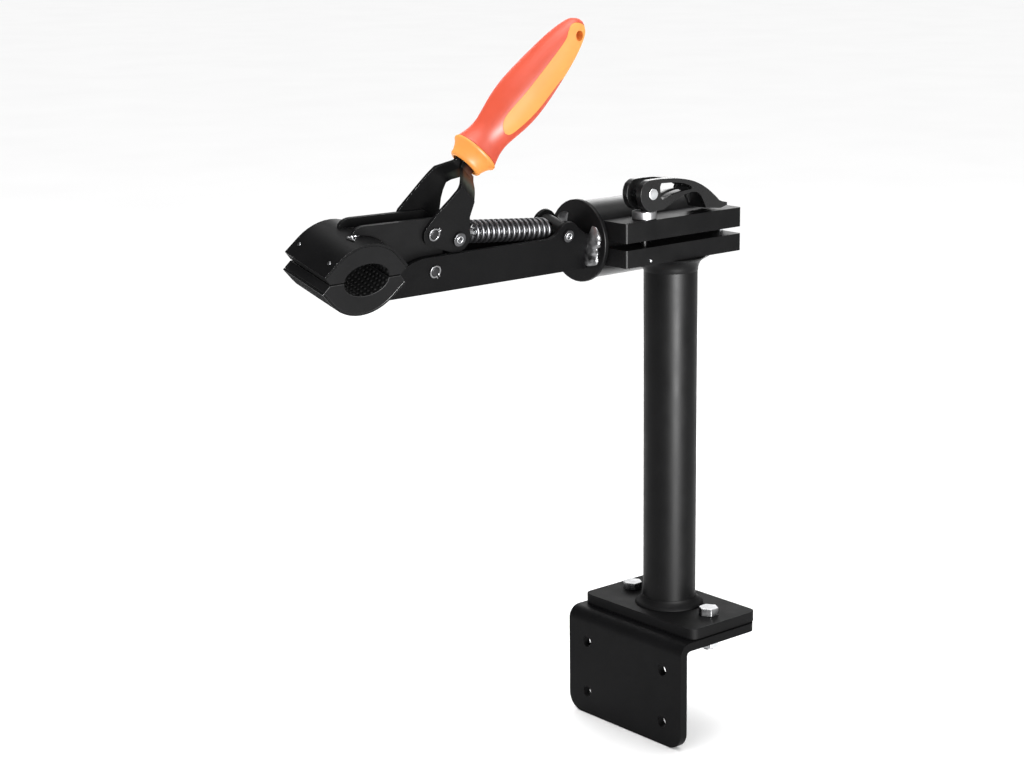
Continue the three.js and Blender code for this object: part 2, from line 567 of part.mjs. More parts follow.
add(handle, 'fork_plate_near', powder, forkPlate(1));
add(handle, 'fork_plate_far', powder, forkPlate(-1));
add(handle, 'handle_pin', zinc, pin(HANDLE_PIVOT, 4, -15.9, 15.9));
for (const [name, side] of Object.entries(ends)) {
  const [x0, x1] = span(side, FORK.outer + GAP, FORK.outer + 1.5);
  add(handle, `handle_pin_ring_${name}`, blackSteel, retainingRing(HANDLE_PIVOT, x0, x1, Math.PI - 0.7));
}
const eyeHead = join(pin(EYE_PIVOT, 6.3, FORK.outer + GAP, FORK.outer + 2.6), pin(EYE_PIVOT, 3, -17.6, 15));
add(handle, 'eye_screw', blackSteel, cut(eyeHead, pin(EYE_PIVOT, 2.9, FORK.outer + 1.1, 20, 6)));
const eyeNut = pin(EYE_PIVOT, 6, -FORK.outer - 4.2, -FORK.outer - GAP, 6);
add(handle, 'eye_screw_nut', blackSteel, cut(eyeNut, pin(EYE_PIVOT, 3.3, -30, 0)));

const pocketPath = roundedRect(-STEM.half - GAP, STEM.half + GAP, -2.75 - GAP, 2.75 + GAP, 0.5);
const pocketGeometry = new THREE.ExtrudeGeometry(pocketPath, { depth: 60, bevelEnabled: false });
// (r, x, h) to the side view's frame, with h from -29.4 to 30.6.
pocketGeometry.applyMatrix4(new THREE.Matrix4().set(
  0, 1, 0, 0,
  -gripSide.u, 0, -gripAxis.u, -GRIP_BASE.u + 29.4 * gripAxis.u,
  gripSide.v, 0, gripAxis.v, GRIP_BASE.v - 29.4 * gripAxis.v,
  0, 0, 0, 1,
));
const pocket = solid(pocketGeometry);

const lathe = (profile, segments) => ontoGrip(
  new THREE.LatheGeometry(profile.map(([r, h]) => new THREE.Vector2(r, h)), segments),
);
const collarProfile = [[0, -16], [13.2, -16], [15.4, -14.6], [15.6, -12.8], [16.6, -9.6], [18.4, -6],
  [20.8, -3.4], [21.5, -2.2], [21.5, -0.6], [20.8, 0], [0, 0]];
add(handle, 'collar', orange, cut(lathe(collarProfile, 24), pocket));

// The grip's radius at a height h above the collar, and how far its middle bows forward there.
const gripCurve = new THREE.CatmullRomCurve3([[20.6, 0.3], [19.4, 4], [17.5, 12], [17.2, 21], [18.9, 32],
  [20.9, 44], [21.9, 58], [21.3, 74], [19.6, 92], [17.4, 110], [15, 123], [12.2, 133.4], [9.4, 139.8], [5.2, 143.9]]
  .map(([r, h]) => new THREE.Vector3(r, h, 0)));
const gripRings = gripCurve.getPoints(17).map(({ x, y }) => [x, y]);
const gripTop = 145.4;
const gripBow = (h) => 0.018 * Math.max(h, 0) + 0.00015 * Math.max(h, 0) ** 2;

function gripSolid(grow) {
  const raised = (h) => h + grow * Math.max(0, (h - 118) / (gripTop - 118));
  const profile = [[0, 0.3 - grow], ...gripRings.map(([r, h]) => [r + grow, raised(h)]), [0, gripTop + grow]];
  const geometry = new THREE.LatheGeometry(profile.map(([r, h]) => new THREE.Vector2(r, h)), 24);
  const { position } = geometry.attributes;
  for (let i = 0; i < position.count; i += 1) {
    position.setX(i, position.getX(i) - gripBow(position.getY(i)));
  }
  return ontoGrip(geometry);
}

// The inlay lies on the near side and wraps over the tip: its outline is drawn as (h, r).
const inlayFront = [[24.6, 3], [26, 7.6], [31, 11.8], [40, 14.2], [55, 15.3], [80, 15.6], [104, 15.3],
  [118, 15], [123, 15.3], [127, 16.2], [134, 17], [140, 15.6], [147, 11.5], [160, 8]];
const inlayBack = [[160, -24], [103, -24], [99.5, -14], [96.5, -9], [91, -5.4], [80, -4.6], [60, -4.6],
  [40, -3.6], [30, -2.4], [26, -0.4]];

function inlayRegion(grow, depth) {
  const shape = polygon([
    ...inlayFront.map(([h, r]) => [h - (h < 30 ? grow : 0), r + grow]),
    ...inlayBack.map(([h, r]) => [h - (h < 30 ? grow : 0), r - grow]),
  ]);
  const geometry = new THREE.ExtrudeGeometry(shape, { depth: 60, bevelEnabled: false });
  geometry.applyMatrix4(new THREE.Matrix4().set(
    0, 0, 1, depth,
    -gripAxis.u, -gripSide.u, 0, -GRIP_BASE.u,
    gripAxis.v, gripSide.v, 0, GRIP_BASE.v,
    0, 0, 0, 1,
  ));
  return solid(geometry);
}

const hang = { h: 131.6, r: 6.3, radius: 4.4 };
const [hangU, hangV] = onGrip(hang.h, hang.r);
const hangHole = bar('x', hang.radius, -30, 30, [0, -hangU, hangV]);
const gripCore = gripSolid(0);
const inlay = cut(gripCore.intersect(inlayRegion(0, 1.5)), gripSolid(-1.8));
const recess = cut(inlayRegion(GAP, 1.5 - GAP), gripSolid(-1.8 - GAP));
add(handle, 'grip', red, cut(gripCore, recess, pocket, hangHole));
add(handle, 'grip_inlay', orange, cut(inlay, hangHole));

// ---------- push rod ----------
const link = new THREE.Group();
handle.add(link);

// The rod leans a little off the line between the pivots, so it stays near the bore's middle all the way.
const rodAngle = Math.atan2(EYE_PIVOT.v - TRUNNION.v, EYE_PIVOT.u - TRUNNION.u) + ROD.lean;
const rodLength = Math.hypot(EYE_PIVOT.v - TRUNNION.v, EYE_PIVOT.u - TRUNNION.u);
// Turns a body built around +Y, with the pivot at 0, onto the rod's direction.
function ontoRod(geometry, pivot = EYE_PIVOT) {
  geometry.rotateX(-rodAngle);
  geometry.translate(0, -pivot.u, pivot.v);
  return solid(geometry);
}

const rodProfile = [[0, 4], [ROD.radius + 2, 4], [ROD.radius + 2, ROD.shoulder], [ROD.radius, ROD.shoulder],
  [ROD.radius, ROD.end], [0, ROD.end]];
const rodShaft = new THREE.LatheGeometry(rodProfile.map(([r, y]) => new THREE.Vector2(r, y)), 16);
const eye = pin(EYE_PIVOT, 9, -7.8, 7.8, 24);
const rodBody = cut(join(eye, ontoRod(rodShaft)), pin(EYE_PIVOT, 3.3, -30, 30));
add(link, 'push_rod', zinc, rodBody);
const lockNut = new THREE.CylinderGeometry(6.8, 6.8, 6.4, 6);
lockNut.translate(0, 139, 0);
const lockNutBore = new THREE.CylinderGeometry(ROD.radius + GAP, ROD.radius + GAP, 20, 16);
lockNutBore.translate(0, 139, 0);
add(link, 'lock_nut', zinc, cut(ontoRod(lockNut), ontoRod(lockNutBore)));

// ---------- trunnion and spring ----------
const pusher = new THREE.Group();
arm.add(pusher);

const trunnionBore = new THREE.CylinderGeometry(6.2, 6.2, 60, 18);
const trunnionBlock = pin(TRUNNION, 9.4, -13.9, 13.9, 24);
const screwBores = [pin(TRUNNION, 3.3, 6.6, 20), pin(TRUNNION, 3.3, -20, -6.6)];
add(pusher, 'trunnion', powder, cut(trunnionBlock, ontoRod(trunnionBore, TRUNNION), ...screwBores));

// The spring's middle line, drawn along the rod with the trunnion's middle at 0.
class Helix extends THREE.Curve {
  getPoint(t, target = new THREE.Vector3()) {
    const angle = t * SPRING.turns * Math.PI * 2;
    const from = SPRING.start - rodLength;
    const to = -9.4 - 0.6 - SPRING.wire;
    return target.set(SPRING.radius * Math.cos(angle), from + t * (to - from), SPRING.radius * Math.sin(angle));
  }
}
const wire = new THREE.Shape();
wire.absarc(0, 0, SPRING.wire, 0, Math.PI * 2);
const coil = new THREE.ExtrudeGeometry(wire, {
  steps: Math.round(SPRING.turns * 8), extrudePath: new Helix(), curveSegments: 3, bevelEnabled: false,
});
add(pusher, 'spring', blackSteel, ontoRod(coil, TRUNNION));

export default part;
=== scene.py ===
import json
import math

import bmesh
import bpy
from mathutils import Matrix, Vector, noise

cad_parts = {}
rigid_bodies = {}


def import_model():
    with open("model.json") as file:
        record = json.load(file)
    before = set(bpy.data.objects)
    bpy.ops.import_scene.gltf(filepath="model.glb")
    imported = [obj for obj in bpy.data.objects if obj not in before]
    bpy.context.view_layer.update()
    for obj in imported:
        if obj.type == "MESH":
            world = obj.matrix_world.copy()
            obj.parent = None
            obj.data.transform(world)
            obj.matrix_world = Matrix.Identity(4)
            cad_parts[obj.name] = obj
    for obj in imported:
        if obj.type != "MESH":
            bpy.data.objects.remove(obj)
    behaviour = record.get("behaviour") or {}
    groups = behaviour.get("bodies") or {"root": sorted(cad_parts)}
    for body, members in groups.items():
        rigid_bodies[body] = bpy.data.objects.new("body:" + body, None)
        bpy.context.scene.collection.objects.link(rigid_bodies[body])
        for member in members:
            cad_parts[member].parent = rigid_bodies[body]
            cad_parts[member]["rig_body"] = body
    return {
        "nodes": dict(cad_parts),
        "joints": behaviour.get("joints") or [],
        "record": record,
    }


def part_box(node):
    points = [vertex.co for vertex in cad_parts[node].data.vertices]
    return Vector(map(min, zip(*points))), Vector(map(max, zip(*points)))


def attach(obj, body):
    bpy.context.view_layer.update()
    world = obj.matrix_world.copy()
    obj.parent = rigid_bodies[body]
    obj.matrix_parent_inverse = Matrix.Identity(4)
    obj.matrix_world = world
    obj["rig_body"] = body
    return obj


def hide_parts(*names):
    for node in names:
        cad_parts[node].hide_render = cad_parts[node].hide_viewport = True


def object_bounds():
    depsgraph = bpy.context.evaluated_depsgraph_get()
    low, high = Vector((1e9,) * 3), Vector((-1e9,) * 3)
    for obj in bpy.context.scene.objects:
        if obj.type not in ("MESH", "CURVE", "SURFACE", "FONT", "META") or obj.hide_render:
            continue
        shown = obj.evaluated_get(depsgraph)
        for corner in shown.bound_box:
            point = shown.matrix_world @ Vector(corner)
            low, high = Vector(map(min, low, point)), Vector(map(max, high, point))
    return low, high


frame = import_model()
cad_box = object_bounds()
nodes = frame["nodes"]
scene = bpy.context.scene
noise.seed_set(1)  # without a fixed seed, the vector noise of the weld beads starts from the clock
MM = 0.001

# ---------- measures, in millimetres of the arm's frame unless said otherwise ----------
# The arm's frame has X across the arm, Y towards the bench and Z up, and turns with the arm.
ARM_TURN = math.radians(14.5)
ACROSS = Vector((1, 0, 0))

GRIP_BASE = Vector((0, -221, 99))
GRIP_TILT = math.radians(133.6)
GRIP_TOP = 145.4  # height of the tip above the base, along the grip
GRIP_SHOULDER = 118  # where the tip's rounding starts
HANG_HOLE = {"side": 6.3, "height": 131.6, "radius": 4.4}

EYE = Vector((0, -238, 26))
TRUNNION = Vector((0, -114.5, 15.5))
ROD_LEAN = math.radians(0.4)
ROD_SPAN = 123.945  # from the eye to the trunnion
SPRING = {"radius": 8.6, "wire": 1.75, "turns": 15.5, "from_eye": 20.2, "from_trunnion": 11.5}

MOUTH = {"forward": 343, "up": 8.2, "half": 23, "height": 13.8, "parting": 0.7}
KNOB_RINGS = ((1.75, -0.3), (1.6, 0.5), (1.0, 1.05))  # (radius, height above the pad)
KNOB_TIP = 1.15
KNOB_GRID = {"rows": 12, "columns": 12, "pitch": 4.6, "start": -26.4, "first_deg": 13, "step_deg": 14}

PLATE_FACE = 17.3  # across, just inside the arm plates' outer faces
DISC_FACE = 84.2  # forward, just inside the rotor disc's front face
DISC_WELD_REACH = 33.5
SCREW_SOCKET = 2.9  # radius of the socket screws' sockets
COLUMN_Y = 0.0517  # metres, in the stand's frame

joints = {j["name"]: j for j in frame["joints"]}
ARM = Matrix.Translation(Vector(joints["arm_roll"]["pos_m"])) @ Matrix.Rotation(ARM_TURN, 4, "Y")


def arm_at(x, u, v):
    """A point of the arm, in the row frame, from millimetres across, forward and up."""
    return ARM @ (Vector((x, -u, v)) * MM)


def frame_from(origin, up):
    """A matrix at an origin in the arm's millimetres, with Z along up and X across the arm."""
    up = up.normalized()
    turn = Matrix((ACROSS, up.cross(ACROSS), up)).transposed().to_4x4()
    return ARM @ Matrix.Translation(origin * MM) @ turn


GRIP_AXIS = Vector((0, -math.cos(GRIP_TILT), math.sin(GRIP_TILT)))
GRIP_SIDE = Vector((0, -math.sin(GRIP_TILT), -math.cos(GRIP_TILT)))
GRIP = frame_from(GRIP_BASE, GRIP_AXIS)
ROD_ANGLE = math.atan2(EYE.z - TRUNNION.z, TRUNNION.y - EYE.y) + ROD_LEAN
ROD = frame_from(TRUNNION, Vector((0, math.cos(ROD_ANGLE), -math.sin(ROD_ANGLE))))


# ---------- materials ----------
class Recipe:
    """Small helper that builds one material's node tree."""

    def __init__(self, name):
        self.mat = bpy.data.materials.new(name)
        self.mat.use_nodes = True
        self.tree = self.mat.node_tree
        self.shader = self.tree.nodes["Principled BSDF"]
        self.coords = self.node("ShaderNodeTexCoord").outputs["Object"]

    def node(self, kind, **values):
        """A new node, with its properties or its inputs' values set by name."""
        made = self.tree.nodes.new(kind)
        for key, value in values.items():
            if hasattr(made, key):
                setattr(made, key, value)
            else:
                made.inputs[key].default_value = value
        return made

    def link(self, source, target):
        self.tree.links.new(source, target)

    def noise(self, scale, detail):
        """Noise with about so many clouds to the metre, and finer octaves by detail."""
        made = self.node("ShaderNodeTexNoise", Scale=scale, Detail=detail, Roughness=0.55)
        self.link(self.coords, made.inputs["Vector"])
        return made.outputs["Fac"]

    def ramp(self, source, stops):
        """A colour ramp from (place, grey or colour) stops."""
        made = self.node("ShaderNodeValToRGB")
        elements = made.color_ramp.elements
        while len(elements) < len(stops):
            elements.new(0.5)
        for element, (place, value) in zip(elements, stops):
            element.position = place
            element.color = (*value, 1) if isinstance(value, tuple) else (value, value, value, 1)
        self.link(source, made.inputs["Fac"])
        return made.outputs["Color"]

    def mix(self, factor, a, b):
        """From a to b, each a colour or a socket, as the factor's socket goes from 0 to 1."""
        made = self.node("ShaderNodeMix", data_type="RGBA")
        self.link(factor, made.inputs["Factor"])
        for value, target in ((a, made.inputs[6]), (b, made.inputs[7])):
            if isinstance(value, tuple):
                target.default_value = (*value, 1)
            else:
                self.link(value, target)
        return made.outputs[2]

    def math(self, operation, a, b):
        """A sum, product or the like of two numbers or sockets."""
        made = self.node("ShaderNodeMath", operation=operation)
        for value, target in ((a, made.inputs[0]), (b, made.inputs[1])):
            if isinstance(value, (int, float)):
                target.default_value = value
            else:
                self.link(value, target)
        return made.outputs[0]

    def along(self, origin, direction):
        """How far a point lies along a direction from an origin, in metres."""
        moved = self.node("ShaderNodeVectorMath", operation="SUBTRACT")
        self.link(self.coords, moved.inputs[0])
        moved.inputs[1].default_value = origin
        dot = self.node("ShaderNodeVectorMath", operation="DOT_PRODUCT")
        self.link(moved.outputs["Vector"], dot.inputs[0])
        dot.inputs[1].default_value = direction
        return dot.outputs["Value"]

    def colour(self, source):
        self.link(source, self.shader.inputs["Base Color"])

    def rough(self, source):
        self.link(source, self.shader.inputs["Roughness"])

    def bump(self, *layers):
        """Adds bump layers, each (height, distance in metres, strength)."""
        below = None
        for height, distance, strength in layers:
            made = self.node("ShaderNodeBump", Distance=distance, Strength=strength)
            self.link(height, made.inputs["Height"])
            if below:
                self.link(below, made.inputs["Normal"])
            below = made.outputs["Normal"]
        self.link(below, self.shader.inputs["Normal"])


FLECK = (0.04, 0.04, 0.042)
FLECK_SHARE = 0.3  # of the fleck's colour that shows at its middle


def powder_coat(name, low, high, rough, peel=1.0, shine=0.07):
    """Black coating: cloudy tone, fine grey flecks and an orange-peel surface."""
    r = Recipe(name)
    broad = r.noise(14, 4)
    speck = r.noise(1600, 2)
    base = r.ramp(broad, [(0.3, low), (0.7, high)])
    flecks = r.ramp(speck, [(0.62, 0.0), (0.78, 1.0)])
    r.colour(r.mix(r.math("MULTIPLY", flecks, FLECK_SHARE), base, FLECK))
    r.rough(r.ramp(r.noise(38, 5), [(0.3, rough[0]), (0.7, rough[1])]))
    r.bump((r.noise(650, 3), 0.0002, 0.22 * peel), (r.noise(2400, 2), 0.0001, 0.15 * peel))
    r.shader.inputs["Specular IOR Level"].default_value = shine
    return r


def metal(name, low, high, rough, grain=0.2):
    """Bare or plated metal with an uneven tone and a fine grain."""
    r = Recipe(name)
    r.colour(r.ramp(r.noise(55, 4), [(0.3, low), (0.7, high)]))
    r.rough(r.ramp(r.noise(120, 5), [(0.3, rough[0]), (0.7, rough[1])]))
    r.bump((r.noise(500, 4), 0.0001, grain))
    r.shader.inputs["Metallic"].default_value = 1.0
    return r


def moulded(name, low, high, rough, grain, size, shine):
    """Moulded plastic or rubber with a fine skin texture of the given scale."""
    r = Recipe(name)
    r.colour(r.ramp(r.noise(22, 3), [(0.3, low), (0.7, high)]))
    r.rough(r.ramp(r.noise(60, 4), [(0.3, rough[0]), (0.7, rough[1])]))
    r.bump((r.noise(size, 3), 0.0002, grain))
    r.shader.inputs["Specular IOR Level"].default_value = shine
    return r


# Colours are linear, as the darkest and the lightest tone; the pair after them is the roughness range.
COAT = (0.0034, 0.0034, 0.0037), (0.0056, 0.0056, 0.006)
POWDER = powder_coat("powder_coat_black", *COAT, (0.38, 0.48)).mat
PLATE = powder_coat("powder_coat_plate", *COAT, (0.52, 0.62), peel=0.8, shine=0.05).mat
FLAT = powder_coat("powder_coat_flat", *COAT, (0.38, 0.48), shine=0.04).mat
# Lighter, shinier coat for bevelled rims: partly coat worn thin at the edges, partly a painted highlight
# whose lighter tone draws bright lines along the edges.
EDGE = powder_coat("powder_coat_edge", (0.01, 0.01, 0.0105), (0.018, 0.018, 0.019), (0.3, 0.4),
                   peel=0.6, shine=0.34).mat
SLEEVE = powder_coat("powder_coat_sleeve", *COAT, (0.28, 0.38), peel=0.8, shine=0.22).mat
SHEET = powder_coat("coated_sheet_black", *COAT, (0.34, 0.44), peel=0.7, shine=0.068).mat
UNDER = powder_coat("coated_sheet_flat", *COAT, (0.78, 0.88), peel=0.7, shine=0.04).mat
CAST = powder_coat("coated_casting_black", *COAT, (0.24, 0.32), peel=1.3, shine=0.3).mat
ZINC = metal("zinc_plate", (0.4, 0.41, 0.42), (0.56, 0.57, 0.58), (0.22, 0.38)).mat
BOLT_ZINC = metal("bolt_zinc", (0.17, 0.172, 0.176), (0.3, 0.302, 0.306), (0.22, 0.36)).mat
DULL_ZINC = metal("dull_zinc", (0.12, 0.12, 0.123), (0.22, 0.22, 0.224), (0.3, 0.42)).mat
OXIDE = metal("blackened_steel", (0.045, 0.045, 0.047), (0.08, 0.08, 0.083), (0.28, 0.38)).mat
DARK_PIN = metal("dark_pin_steel", (0.012, 0.012, 0.0125), (0.024, 0.024, 0.025), (0.35, 0.5)).mat
RING = metal("ring_steel", (0.11, 0.11, 0.113), (0.2, 0.2, 0.204), (0.26, 0.36)).mat
SPRING_STEEL = metal("spring_steel_black", (0.038, 0.038, 0.04), (0.066, 0.066, 0.069), (0.36, 0.44),
                     grain=0.06).mat
RUBBER = moulded("pad_rubber", (0.0055, 0.0055, 0.0058), (0.0095, 0.0095, 0.01), (0.6, 0.75),
                 grain=0.35, size=700, shine=0.04).mat
# Lighter rubber on the pads' bevelled rims: a painted highlight that draws a bright line along their edges.
RUBBER_EDGE = moulded("pad_rubber_edge", (0.012, 0.012, 0.0125), (0.02, 0.02, 0.021), (0.45, 0.55),
                      grain=0.3, size=700, shine=0.22).mat
RED = moulded("grip_red_plastic", (0.63, 0.068, 0.029), (0.69, 0.084, 0.037), (0.44, 0.54),
              grain=0.16, size=800, shine=0.18).mat
ORANGE = moulded("grip_orange_plastic", (0.86, 0.35, 0.08), (0.9, 0.4, 0.1), (0.56, 0.66),
                 grain=0.14, size=900, shine=0.08).mat
COLLAR_ORANGE = moulded("collar_orange_plastic", (0.84, 0.29, 0.05), (0.9, 0.36, 0.075), (0.42, 0.54),
                        grain=0.12, size=900, shine=0.16).mat
WELD = metal("bright_weld", (0.03, 0.03, 0.031), (0.26, 0.26, 0.265), (0.26, 0.46), grain=0.9).mat

# The fork's bare steel, in metres from the grip's base.
STEM_WAVE = 0.006  # how far the edge of the bare steel wanders
STEM_START = 0.03  # below the base, where the coat ends
STEM_BLEND = 0.02  # from there up to the last of the heat colours
BACK_START = 0.002  # in front of the grip's middle, where the coated front ends
BACK_BLEND = 0.005  # from there to fully bare


def stem_steel():
    """Powder coat that stops below the collar, where the near leg's back shows heat colours."""
    r = powder_coat("fork_coat_and_bare_stem", *COAT, (0.36, 0.46), shine=0.056)
    base = ARM @ (GRIP_BASE * MM)
    height = r.along(base, ARM.to_3x3() @ GRIP_AXIS)
    wavy = r.math("ADD", height, r.math("MULTIPLY", r.noise(180, 3), STEM_WAVE))
    share = r.math("MULTIPLY", r.math("ADD", wavy, STEM_START), 1 / STEM_BLEND)
    heat = r.ramp(share, [(0.0, (0.02, 0.021, 0.02)), (0.35, (0.06, 0.068, 0.055)),
                          (0.62, (0.12, 0.055, 0.03)), (1.0, (0.07, 0.02, 0.016))])
    depth = r.along(base, ARM.to_3x3() @ -GRIP_SIDE)
    behind = r.math("MULTIPLY", r.math("ADD", depth, BACK_START), 1 / BACK_BLEND)
    near = r.ramp(behind, [(0.0, 0.0), (1.0, 1.0)])
    bare = r.math("MULTIPLY", r.ramp(share, [(0.0, 0.0), (0.3, 1.0)]), near)
    old = r.shader.inputs["Base Color"].links[0].from_socket
    r.colour(r.mix(bare, old, heat))
    return r.mat


STEM = stem_steel()


# ---------- mesh helpers ----------
def new_object(name, verts, faces, material, body, slot=None, replaces=()):
    """A mesh object that rides a body and may stand for CAD nodes; its slot argument is not used."""
    mesh = bpy.data.meshes.new(name)
    mesh.from_pydata([tuple(v) for v in verts], [], faces)
    mesh.validate()
    mesh.update()
    obj = bpy.data.objects.new(name, mesh)
    scene.collection.objects.link(obj)
    mesh.materials.append(material)
    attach(obj, body)
    if replaces:
        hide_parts(*replaces)
    return obj


def shade(obj, angle=32):
    """Smooth shading, with edges sharper than the angle kept crisp."""
    for polygon in obj.data.polygons:
        polygon.use_smooth = True
    obj.data.set_sharp_from_angle(angle=math.radians(angle))


def bevel(obj, width, segments=2, angle=32, rim_wear_and_highlight=None):
    """Rounds the edges sharper than the angle, to a width in millimetres, in the given rim material if any: a
    lighter tone on the bevel faces that paints a highlight along the edges, partly a worn coat.
    """
    made = obj.modifiers.new("edges", "BEVEL")
    made.width = width * MM
    made.segments = segments
    made.limit_method = "ANGLE"
    made.angle_limit = math.radians(angle)
    made.harden_normals = True
    made.miter_outer = "MITER_ARC"
    if rim_wear_and_highlight:
        obj.data.materials.append(rim_wear_and_highlight)
        made.material = 1


MERGE_DISTANCE = 2e-6  # metres
FLAT_ANGLE = math.radians(0.6)  # faces that meet at less than this are one face


def clean_copy(node):
    """The node's shape as plain vertices and flat faces, with split vertices and triangulation merged."""
    bm = bmesh.new()
    bm.from_mesh(nodes[node].data)
    bmesh.ops.remove_doubles(bm, verts=bm.verts, dist=MERGE_DISTANCE)
    bmesh.ops.dissolve_limit(bm, angle_limit=FLAT_ANGLE, verts=bm.verts, edges=bm.edges)
    bmesh.ops.recalc_face_normals(bm, faces=bm.faces)
    bm.verts.index_update()
    verts = [v.co.copy() for v in bm.verts]
    faces = [[v.index for v in f.verts] for f in bm.faces]
    bm.free()
    return verts, faces


def refine(node, material, width=0.5, segments=2, rim_wear_and_highlight=None):
    """A finished skin over a CAD node: the same shape, with rounded edges and smooth round faces."""
    verts, faces = clean_copy(node)
    slot = next(s["material_slot"] for s in frame["record"]["subparts"] if s["node"] == node)
    obj = new_object(node + "_skin", verts, faces, material, nodes[node]["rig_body"], slot, [node])
    shade(obj)
    if width:
        bevel(obj, width, segments, rim_wear_and_highlight=rim_wear_and_highlight)
    return obj


FOLD_DEGREES = (40, 52)  # how far the fork plates' folds turn
FOLD_LENGTH = 9  # the shortest fold, in millimetres


def round_bends(obj, width):
    """Rolls the long bend lines of a folded plate, then breaks its sharp edges."""
    bm = bmesh.new()
    bm.from_mesh(obj.data)
    layer = bm.edges.layers.float.new("bevel_weight_edge")
    for edge in bm.edges:
        turned = math.degrees(edge.calc_face_angle(0)) if len(edge.link_faces) == 2 else 0
        if FOLD_DEGREES[0] < turned < FOLD_DEGREES[1] and edge.calc_length() > FOLD_LENGTH * MM:
            edge[layer] = 1.0
    bm.to_mesh(obj.data)
    bm.free()
    made = obj.modifiers.new("bends", "BEVEL")
    made.width = width * MM
    made.segments = 6
    made.limit_method = "WEIGHT"
    made.use_clamp_overlap = False
    bevel(obj, 0.6, rim_wear_and_highlight=EDGE)


def lathe(name, profile, matrix, material, body, segments, bow=lambda h: 0.0, **more):
    """Turns (radius, height) millimetres about the matrix's Z axis, whose middle may bow along -Y."""
    verts, faces, rings = [], [], []
    for radius, height in profile:
        if radius < 1e-6:
            rings.append([len(verts)])
            verts.append(matrix @ (Vector((0, -bow(height), height)) * MM))
            continue
        rings.append(list(range(len(verts), len(verts) + segments)))
        for i in range(segments):
            turn = 2 * math.pi * i / segments
            spot = Vector((radius * math.cos(turn), radius * math.sin(turn) - bow(height), height))
            verts.append(matrix @ (spot * MM))
    for low, high in zip(rings, rings[1:]):
        for i in range(segments):
            j = (i + 1) % segments
            if len(low) == 1 and len(high) > 1:
                faces.append([low[0], high[j], high[i]])
            elif len(high) == 1 and len(low) > 1:
                faces.append([low[i], low[j], high[0]])
            elif len(low) > 1:
                faces.append([low[i], low[j], high[j], high[i]])
    return new_object(name, verts, faces, material, body, **more)


def curve_through(points, count):
    """Points on a smooth curve through the given (radius, height) points."""
    made = []
    last = len(points) - 1
    for k in range(count + 1):
        t = k / count * last
        i = min(int(t), last - 1)
        f = t - i
        around = (points[max(0, min(last, i + step))] for step in (-1, 0, 1, 2))
        made.append(tuple(
            0.5 * (2 * b + (c - a) * f + (2 * a - 5 * b + 4 * c - d) * f * f
                   + (3 * b - a - 3 * c + d) * f ** 3)
            for a, b, c, d in zip(*around)
        ))
    return made


def tube(name, path, radii, material, body, sides=12, **more):
    """A round wire or bead along row-frame points, with a radius in millimetres at each point."""
    verts, faces = [], []
    normal = Vector((0.31, 0.17, 0.93))  # any start that no path runs along
    for i, point in enumerate(path):
        ahead = (path[min(i + 1, len(path) - 1)] - path[max(i - 1, 0)]).normalized()
        normal = (normal - ahead * normal.dot(ahead)).normalized()
        side = ahead.cross(normal)
        for k in range(sides):
            turn = 2 * math.pi * k / sides
            verts.append(point + (normal * math.cos(turn) + side * math.sin(turn)) * radii[i] * MM)
    for i in range(len(path) - 1):
        for k in range(sides):
            j = (k + 1) % sides
            faces.append([i * sides + k, i * sides + j, (i + 1) * sides + j, (i + 1) * sides + k])
    faces.append(list(range(sides))[::-1])
    faces.append([(len(path) - 1) * sides + k for k in range(sides)])
    obj = new_object(name, verts, faces, material, body, **more)
    shade(obj, 60)
    return obj


def combine(obj, other, operation):
    """Applies a boolean with another object, which is then removed."""
    made = obj.modifiers.new("combine", "BOOLEAN")
    made.object = other
    made.operation = operation
    made.solver = "EXACT"
    bpy.context.view_layer.update()
    result = obj.evaluated_get(bpy.context.evaluated_depsgraph_get())
    mesh = bpy.data.meshes.new_from_object(result)
    obj.modifiers.remove(made)
    obj.data = mesh
    bpy.data.objects.remove(other)


def prism(outline, low, high, matrix):
    """A throwaway solid: an outline of (x, y) millimetres, from low to high along the matrix's Z."""
    count = len(outline)
    verts = [matrix @ (Vector((x, y, z)) * MM) for z in (low, high) for x, y in outline]
    faces = [list(range(count))[::-1], list(range(count, 2 * count))]
    faces += [[i, (i + 1) % count, count + (i + 1) % count, count + i] for i in range(count)]
    mesh = bpy.data.meshes.new("cutter")
    mesh.from_pydata([tuple(v) for v in verts], [], faces)
    obj = bpy.data.objects.new("cutter", mesh)
    scene.collection.objects.link(obj)
    return obj


# ---------- CAD pieces with finished edges ----------
# Each width is the rounding of the piece's edges; the third entry is the rim material, lighter than the coat,
# that paints a highlight along the rounded edges.
for name, width, rim_wear_and_highlight in (
    ("column", 0, None), ("upper_clamp_bar", 1.0, None), ("lower_clamp_bar", 1.0, None), ("rotor", 0.5, None),
    ("arm_floor", 0.3, None), ("lever_plate_near", 0.6, EDGE), ("lever_plate_far", 0.6, EDGE),
    ("trunnion", 0.6, None),
):
    refine(name, POWDER, width, rim_wear_and_highlight=rim_wear_and_highlight)
refine("bench_bracket", FLAT, 0.9)
for name in ("arm_plate_near", "arm_plate_far"):
    refine(name, FLAT, 0.6, rim_wear_and_highlight=EDGE)
refine("base_plate", PLATE, 1.0)
refine("foot_weld", PLATE, 0.6)
refine("clamp_sleeve", SLEEVE, 0.7)
for name in ("fork_plate_near", "fork_plate_far"):
    round_bends(refine(name, STEM, 0), width=4.5)
refine("upper_cover", SHEET, 0.5, rim_wear_and_highlight=EDGE)
refine("lower_cover", UNDER, 0.5, rim_wear_and_highlight=EDGE)
refine("cam_lever", CAST, 1.2, segments=4)
